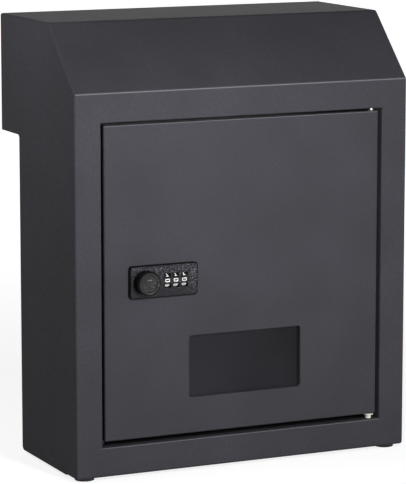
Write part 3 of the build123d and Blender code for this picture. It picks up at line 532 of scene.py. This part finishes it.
def lathe(rings, sides):
    """Open tube through rings of (radius, height) about Z, each of which may be a function of
    the angle."""
    bm = bmesh.new()
    rows = []
    for radius, height in rings:
        row = []
        for i in range(sides):
            turn = 2 * math.pi * i / sides
            r = radius(turn) if callable(radius) else radius
            h = height(turn) if callable(height) else height
            row.append(bm.verts.new((r * math.cos(turn), r * math.sin(turn), h)))
        rows.append(row)
    for low, high in zip(rows, rows[1:]):
        for i in range(sides):
            j = (i + 1) % sides
            bm.faces.new((low[i], low[j], high[j], high[i]))
    return bm, rows


def cap(bm, row, up):
    """Closes a ring of points with one face."""
    bm.faces.new(row if up else list(reversed(row)))


def bridge(bm, first, last):
    """Joins the two end rings of a tube, which closes it round a bore."""
    count = len(first)
    for i in range(count):
        j = (i + 1) % count
        bm.faces.new((first[i], last[i], last[j], first[j]))


def to_mesh(bm, name, sharp_degrees=SHARP_EDGE):
    """Mesh from a bmesh, smooth where its faces turn by less than an angle."""
    bmesh.ops.recalc_face_normals(bm, faces=bm.faces)
    mesh = bpy.data.meshes.new(name)
    bm.to_mesh(mesh)
    bm.free()
    mesh.shade_smooth()
    mesh.set_sharp_from_angle(angle=math.radians(sharp_degrees))
    return mesh


def joined(meshes_and_places, name):
    """One mesh from several meshes, each moved to its place."""
    bm = bmesh.new()
    for mesh, place in meshes_and_places:
        copy = mesh.copy()
        copy.transform(place)
        bm.from_mesh(copy)
        bpy.data.meshes.remove(copy)
    return to_mesh(bm, name)


def facing_back(x, y, z):
    """Turns a part built along +Z so that it points along +Y from a place."""
    return Matrix.Translation((x, y, z)) @ Matrix.Rotation(math.radians(-90), 4, "X")


def stroke_edges(points, closed, half):
    """Left and right edges of a line of a given half width, its corners mitred."""
    count = len(points)
    runs = [(points[(i + 1) % count] - points[i]).normalized()
            for i in range(count if closed else count - 1)]
    left, right = [], []
    for i, point in enumerate(points):
        before = runs[i - 1] if closed or i else runs[0]
        after = runs[i % len(runs)] if closed or i < count - 1 else runs[-1]
        if not closed:
            point = point + ((i == count - 1) - (i == 0)) * after * half
        bend = max(MITRE_LIMIT, 1 + before.dot(after))
        across = Vector((-before.y - after.y, before.x + after.x)) / bend
        left.append(point + across * half)
        right.append(point - across * half)
    return left, right


def stroke(bm, points, closed, half, relief):
    """One raised line of a numeral, facing +Z."""
    edges = stroke_edges(points, closed, half)
    rails = [[bm.verts.new((*p, level)) for p in edge]
             for level in (relief, -relief) for edge in edges]
    top_left, top_right, low_left, low_right = rails
    count = len(points)
    for i in range(count if closed else count - 1):
        j = (i + 1) % count
        bm.faces.new((top_left[i], top_right[i], top_right[j], top_left[j]))
        bm.faces.new((low_left[j], low_right[j], low_right[i], low_left[i]))
        bm.faces.new((top_left[j], low_left[j], low_left[i], top_left[i]))
        bm.faces.new((top_right[i], low_right[i], low_right[j], top_right[j]))
    if not closed:
        bm.faces.new((top_left[0], low_left[0], low_right[0], top_right[0]))
        bm.faces.new((top_right[-1], low_right[-1], low_left[-1], top_left[-1]))


def numeral(lines, lock):
    """One numeral as a mesh of raised lines, its middle at the origin. Each further line is a
    little lower, so that no two crossing faces lie in one plane."""
    half = lock.numeral_stroke / 2
    size = Vector((lock.numeral_width - 2 * half, lock.numeral_height - 2 * half))
    bm = bmesh.new()
    for order, (closed, points) in enumerate(lines):
        places = [Vector(((x - 0.5) * size.x, (y - 0.5) * size.y)) for x, y in points]
        stroke(bm, places, closed, half, lock.numeral_relief * (1 - LINE_DROP * order))
    return to_mesh(bm, "numeral")


def numeral_ring(node, lock):
    """Ten numerals round one dial: zero to the front, one above it, nine below it."""
    low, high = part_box(node)
    centre = (low + high) / 2
    apothem = (high.y - low.y) / 2
    placed = []
    for index, lines in enumerate(NUMERALS):
        turn = 2 * math.pi * index / len(NUMERALS)
        outward = Vector((0, -math.cos(turn), math.sin(turn)))
        upward = Vector((0, math.sin(turn), math.cos(turn)))
        facing = Matrix((Vector((1, 0, 0)), upward, outward)).transposed().to_4x4()
        place = Matrix.Translation(centre + outward * apothem) @ facing
        placed.append((numeral(lines, lock), place))
    return joined(placed, node + "_numerals")


def index_mark(node, length, width, relief):
    """Short raised bar with rounded ends, a little above the middle of the knob's dish."""
    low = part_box(node)[0]
    centre = centre_of(node)
    bm = bmesh.new()
    rows = []
    edge = relief * MARK_EDGE
    for height, inset in ((0.0, 0.0), (relief - edge, 0.0), (relief, edge)):
        row = []
        for end in (1, -1):
            for step in range(MARK_STEPS + 1):
                turn = math.pi * (step / MARK_STEPS - 0.5) + (0 if end > 0 else math.pi)
                radius = width / 2 - inset
                row.append(bm.verts.new((end * (length - width) / 2 + radius * math.cos(turn),
                                         radius * math.sin(turn), height)))
        rows.append(row)
    for first, second in zip(rows, rows[1:]):
        for i in range(len(first)):
            j = (i + 1) % len(first)
            bm.faces.new((first[i], first[j], second[j], second[i]))
    cap(bm, rows[0], False)
    cap(bm, rows[-1], True)
    mesh = to_mesh(bm, "index_mark")
    tilt = Matrix.Rotation(MARK_TILT, 4, "Z")
    forward = Matrix.Rotation(math.radians(90), 4, "X")
    place = Matrix.Translation((centre.x, low.y + MARK_BEHIND, centre.z + MARK_ABOVE))
    mesh.transform(place @ forward @ tilt)
    return mesh


def threaded_stud(length, fasteners):
    """Stud with a cut thread and a bevelled end, along +Z."""
    turns = length / fasteners.pitch
    rings = []
    for step in range(int(turns * RINGS_PER_TURN) + 1):
        height = step * fasteners.pitch / RINGS_PER_TURN
        left = length - height

        def radius(turn, height=height, left=left):
            """Distance from the axis to the thread at this height."""
            phase = (height / fasteners.pitch - turn / (2 * math.pi)) % 1
            cut = fasteners.thread_depth * (1 - abs(2 * phase - 1))
            taper = max(0.0, fasteners.thread_depth * STUD_BEVEL - left)
            return fasteners.stud_radius - max(cut, taper)

        rings.append((radius, height))
    bm, rows = lathe(rings, STUD_SIDES)
    cap(bm, rows[0], False)
    cap(bm, rows[-1], True)
    return to_mesh(bm, "stud", sharp_degrees=50)


def hexagon_nut(height, fasteners):
    """Hexagon nut with bevelled corners and a bevelled bore, along +Z."""
    flat = fasteners.nut_flats / 2
    bevel = flat * NUT_BEVEL
    bore = fasteners.stud_radius + BORE_PLAY
    slope = math.tan(math.radians(30))

    def hexagon(turn):
        """Distance from the axis to the nut's side."""
        return flat / math.cos((turn + math.pi / 6) % (math.pi / 3) - math.pi / 6)

    def rim(turn):
        """The same, with the corners cut by the bevel."""
        return min(hexagon(turn), bevel)

    def drop(turn):
        """How far the bevel falls at the side."""
        return (hexagon(turn) - rim(turn)) * slope

    rings = [(bore, BORE_BEVEL), (bore + BORE_BEVEL, 0.0), (rim, 0.0), (hexagon, drop),
             (hexagon, lambda turn: height - drop(turn)), (rim, height),
             (bore + BORE_BEVEL, height), (bore, height - BORE_BEVEL)]
    bm, rows = lathe(rings, NUT_SIDES)
    bridge(bm, rows[0], rows[-1])
    bmesh.ops.remove_doubles(bm, verts=bm.verts, dist=SAME_PLACE)
    bmesh.ops.dissolve_degenerate(bm, edges=bm.edges, dist=SAME_PLACE)
    return to_mesh(bm, "nut", sharp_degrees=25)


def with_cross_recess(bm, top, fasteners):
    """Cuts a cross recess into the top of a screw's head."""
    body = bpy.data.objects.new("head", to_mesh(bm, "head"))
    reach, half = fasteners.recess_reach, fasteners.recess_width / 2
    outline = [(reach, -half), (reach, half), (half, half), (half, reach), (-half, reach),
               (-half, half), (-reach, half), (-reach, -half), (-half, -half), (-half, -reach),
               (half, -reach), (half, -half)]
    cutter_bm = bmesh.new()
    levels = []
    bottom = top - fasteners.recess_depth
    for height, share in ((top + OVER_HEAD, 1.0), (top, 1.0), (bottom, RECESS_TAPER)):
        levels.append([cutter_bm.verts.new((x * share, y * share, height)) for x, y in outline])
    for high, low in zip(levels, levels[1:]):
        for i in range(len(outline)):
            j = (i + 1) % len(outline)
            cutter_bm.faces.new((high[i], high[j], low[j], low[i]))
    cutter_bm.faces.new(levels[0])
    cutter_bm.faces.new(levels[-1])
    cutter = bpy.data.objects.new("cutter", to_mesh(cutter_bm, "cutter"))
    for thing in (body, cutter):
        bpy.context.scene.collection.objects.link(thing)
    cut = body.modifiers.new("recess", "BOOLEAN")
    cut.operation = "DIFFERENCE"
    cut.solver = "EXACT"
    cut.object = cutter
    bpy.context.view_layer.update()
    finished = body.evaluated_get(bpy.context.evaluated_depsgraph_get())
    made = bpy.data.meshes.new_from_object(finished)
    for thing in (body, cutter):
        bpy.data.objects.remove(thing)
    made.shade_smooth()
    made.set_sharp_from_angle(angle=math.radians(SHARP_EDGE))
    return made


def countersunk_screw(length, head_radius, head_height, shank_radius, fasteners):
    """Countersunk screw that points along -Z, its flat head at the top of its length."""
    rings = [(shank_radius, 0.0), (shank_radius, length - head_height),
             (head_radius, length - COUNTERSUNK_RIM), (head_radius - COUNTERSUNK_EASE, length)]
    bm, rows = lathe(rings, COUNTERSUNK_SIDES)
    cap(bm, rows[0], False)
    cap(bm, rows[-1], True)
    return with_cross_recess(bm, length, fasteners)


def pan_screw(length, head_radius, head_height, shank_radius, fasteners):
    """Pan-head screw that points along -Z, its rounded head at the top of its length."""
    seat = length - head_height
    rings = [(shank_radius, 0.0), (shank_radius, seat), (head_radius, seat)]
    arc = head_height * PAN_ROUND
    for i in range(PAN_STEPS):
        turn = math.pi / 2 * i / PAN_STEPS
        rings.append((head_radius - arc + arc * math.cos(turn),
                      seat + head_height - arc + arc * math.sin(turn)))
    rings.append((head_radius - arc, length))
    bm, rows = lathe(rings, PAN_SIDES)
    cap(bm, rows[0], False)
    cap(bm, rows[-1], True)
    return with_cross_recess(bm, length, fasteners)


# Operators


class DROPBOX_OT_sheet_metal(Operator):
    """Powder coat on the folded sheets of the cabinet and the door"""
    bl_idname = "dropbox.sheet_metal"
    bl_label = "Sheet metal"

    def execute(self, context):
        finish_nodes("powder_coat", powder_coat(settings().coat))
        return {"FINISHED"}


class DROPBOX_OT_lock(Operator):
    """Black paint on the lock body and the knob, black dials, and the knob's index mark"""
    bl_idname = "dropbox.lock"
    bl_label = "Lock"

    def execute(self, context):
        lock = settings().lock
        body = painted_casting("zinc_die_casting_crackle_paint_coarse", lock.casting,
                               lock.casting_grain, **BODY_PAINT)
        knob = painted_casting("zinc_die_casting_crackle_paint_fine", lock.knob,
                               lock.knob_grain, **KNOB_PAINT)
        finish_nodes("lock_black", body, ["lock_housing"])
        finish_nodes("lock_black", knob, ["knob"])
        finish_nodes("dial_plastic", moulded_acetal(lock.dial))
        worn = painted_casting("zinc_die_casting_paint_worn_through", lock.knob_grain,
                               lock.mark, **MARK_PAINT)
        mark = index_mark("knob", MARK_LENGTH, MARK_WIDTH, MARK_RELIEF)
        new_piece("knob_index_mark", mark, worn, "latch")
        return {"FINISHED"}


class DROPBOX_OT_numerals(Operator):
    """Plain numerals on the ten faces of each dial"""
    bl_idname = "dropbox.numerals"
    bl_label = "Numerals"

    def execute(self, context):
        lock = settings().lock
        paint = numeral_paint(lock.numeral)
        for node in DIALS:
            new_piece(node + "_numerals", numeral_ring(node, lock), paint, node)
        return {"FINISHED"}


class DROPBOX_OT_small_parts(Operator):
    """Plated steel, nylon and rubber parts, and the window's pane"""
    bl_idname = "dropbox.small_parts"
    bl_label = "Small parts"

    def execute(self, context):
        finish_nodes("zinc_steel", zinc_plate())
        finish_nodes("white_nylon", moulded_nylon())
        finish_nodes("black_rubber", moulded_rubber())
        finish_nodes("smoked_acrylic", smoked_acrylic())
        return {"FINISHED"}


class DROPBOX_OT_window_fasteners(Operator):
    """Threaded studs and bevelled nuts that hold the window's frame"""
    bl_idname = "dropbox.window_fasteners"
    bl_label = "Window fasteners"

    def execute(self, context):
        fasteners = settings().fasteners
        zinc = bpy.data.materials["zinc_plated_steel_passivated"]
        places = corner_places("window_studs", fasteners.stud_radius)
        low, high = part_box("window_studs")
        stud = threaded_stud(high.y - low.y, fasteners)
        studs = joined([(stud, facing_back(x, low.y, z)) for x, z in places], "studs")
        new_piece("window_studs_threaded", studs, zinc, "door", ["window_studs"])
        low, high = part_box("window_nuts")
        nut = hexagon_nut(high.y - low.y, fasteners)
        nuts = joined([(nut, facing_back(x, low.y, z)) for x, z in places], "nuts")
        new_piece("window_nuts_bevelled", nuts, zinc, "door", ["window_nuts"])
        return {"FINISHED"}


class DROPBOX_OT_lock_fasteners(Operator):
    """Cross-recessed screws of the lock's back plate and of the cam"""
    bl_idname = "dropbox.lock_fasteners"
    bl_label = "Lock fasteners"

    def execute(self, context):
        fasteners = settings().fasteners
        zinc = bpy.data.materials["zinc_plated_steel_passivated"]
        low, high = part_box("lock_screws")
        radius = (high.z - low.z) / 2
        plate_low, plate_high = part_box("lock_back_plate")
        head = plate_high.y - plate_low.y
        screw = countersunk_screw(high.y - low.y, radius, head, radius * COUNTERSUNK_SHANK,
                                  fasteners)
        middle = (low.z + high.z) / 2
        places = [facing_back(x, low.y, middle) for x in (low.x + radius, high.x - radius)]
        screws = joined([(screw, place) for place in places], "screws")
        new_piece("lock_screws_recessed", screws, zinc, "door", ["lock_screws"])
        low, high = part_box("cam_screw")
        radius = (high.z - low.z) / 2
        head = high.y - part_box("cam_washer")[1].y
        screw = pan_screw(high.y - low.y, radius, head, radius * PAN_SHANK, fasteners)
        centre = centre_of("cam_screw")
        screw.transform(facing_back(centre.x, low.y, centre.z))
        new_piece("cam_screw_recessed", screw, zinc, "latch", ["cam_screw"])
        return {"FINISHED"}


class DROPBOX_OT_stage(Operator):
    """Pale floor, soft studio light and the camera"""
    bl_idname = "dropbox.stage"
    bl_label = "Stage"

    def execute(self, context):
        stage = settings().stage
        make_floor(stage.floor_radius)
        make_world()
        for name, (place, target, width) in LAMPS.items():
            soft_box(name + "_light", place, target, width, getattr(stage, name + "_power"))
        make_camera(stage)
        context.scene.view_settings.view_transform = "Standard"
        return {"FINISHED"}


def make_floor(radius):
    """Round pale floor under the object's feet."""
    bm = bmesh.new()
    bmesh.ops.create_circle(bm, cap_ends=True, segments=FLOOR_SIDES, radius=radius)
    mesh = bpy.data.meshes.new("studio_floor")
    bm.to_mesh(mesh)
    bm.free()
    floor = bpy.data.objects.new("studio_floor", mesh)
    bpy.context.scene.collection.objects.link(floor)
    floor.data.materials.append(studio_paper())


def seen_directly(tree, reflected):
    """1 for rays that show the stage itself, straight or through glass, the given share in a
    reflection, and 0 for the light that it would throw on other things."""
    path = add_node(tree, "ShaderNodeLightPath").outputs
    mirror = calculate(tree, "MULTIPLY", path["Is Glossy Ray"], reflected)
    shown = calculate(tree, "MAXIMUM", path["Is Camera Ray"], mirror)
    return calculate(tree, "MAXIMUM", shown, path["Is Transmission Ray"])


def studio_paper():
    """Matte background paper that glows by itself, a little less near the object. So it looks
    white up to the horizon and still shows the object's shadow."""
    material = bpy.data.materials.new("background_paper_matte")
    material.use_nodes = True
    tree = material.node_tree
    tree.nodes.clear()
    place = add_node(tree, "ShaderNodeTexCoord").outputs["Object"]
    away = add_node(tree, "ShaderNodeVectorMath", {0: place}, operation="LENGTH").outputs["Value"]
    glow = spread(tree, away, *PAPER_GLOW, *PAPER_REACH)
    lift = calculate(tree, "MULTIPLY", seen_directly(tree, PAPER_REFLECTED), glow)
    paper = add_node(tree, "ShaderNodeBsdfDiffuse", {"Color": PAPER_SHADE})
    shine = add_node(tree, "ShaderNodeEmission", {"Color": WHITE, "Strength": lift})
    both = add_node(tree, "ShaderNodeAddShader", {0: paper.outputs[0], 1: shine.outputs[0]})
    add_node(tree, "ShaderNodeOutputMaterial", {"Surface": both.outputs[0]})
    return material


def make_world():
    """Soft light from all round: a pale wall that fades upwards into a dim room."""
    world = bpy.data.worlds.new("studio")
    world.use_nodes = True
    tree = world.node_tree
    tree.nodes.clear()
    way = add_node(tree, "ShaderNodeTexCoord").outputs["Generated"]
    height = add_node(tree, "ShaderNodeSeparateXYZ", {"Vector": way}).outputs["Z"]
    glow = spread(tree, height, WALL_GLOW, ROOM_GLOW, 0.0, WALL_TOP)
    sky = add_node(tree, "ShaderNodeBackground", {"Color": WHITE, "Strength": glow})
    add_node(tree, "ShaderNodeOutputWorld", {"Surface": sky.outputs[0]})
    bpy.context.scene.world = world


def soft_box(name, place, target, size, power):
    """Square area light that points at a target."""
    lamp = bpy.data.lights.new(name, "AREA")
    lamp.shape = "SQUARE"
    lamp.size = size
    lamp.energy = power
    holder = bpy.data.objects.new(name, lamp)
    bpy.context.scene.collection.objects.link(holder)
    holder.visible_camera = False
    holder.location = place
    holder.rotation_euler = (Vector(target) - Vector(place)).to_track_quat("-Z", "Y").to_euler()


def make_camera(stage):
    """Camera at the photograph's place and angle."""
    lens = bpy.data.cameras.new("camera")
    lens.lens = stage.focal_length
    lens.sensor_width = SENSOR_WIDTH
    lens.clip_end = CLIP_END
    camera = bpy.data.objects.new("camera", lens)
    bpy.context.scene.collection.objects.link(camera)
    camera.location = stage.camera_place
    camera.rotation_euler = stage.camera_turn
    bpy.context.scene.camera = camera


OPERATORS = (DROPBOX_OT_sheet_metal, DROPBOX_OT_lock, DROPBOX_OT_numerals,
             DROPBOX_OT_small_parts, DROPBOX_OT_window_fasteners, DROPBOX_OT_lock_fasteners,
             DROPBOX_OT_stage)


class DROPBOX_PT_panel(Panel):
    """Steps of the drop box's looks, in order"""
    bl_label = "Drop Box"
    bl_idname = "DROPBOX_PT_panel"
    bl_space_type = "VIEW_3D"
    bl_region_type = "UI"
    bl_category = "Drop Box"

    def draw(self, context):
        for operator in OPERATORS:
            self.layout.operator(operator.bl_idname)


GROUPS = (CoatSettings, LockSettings, FastenerSettings, StageSettings, DropBoxSettings)


def register():
    """Adds the settings, the operators and the panel."""
    for held in (*GROUPS, *OPERATORS, DROPBOX_PT_panel):
        bpy.utils.register_class(held)
    bpy.types.Scene.drop_box = PointerProperty(type=DropBoxSettings)


def unregister():
    """Takes them away again."""
    del bpy.types.Scene.drop_box
    for held in reversed((*GROUPS, *OPERATORS, DROPBOX_PT_panel)):
        bpy.utils.unregister_class(held)


def main():
    """Runs every step."""
    register()
    for operator in OPERATORS:
        group, name = operator.bl_idname.split(".")
        getattr(getattr(bpy.ops, group), name)()


if __name__ == "__main__":
    main()
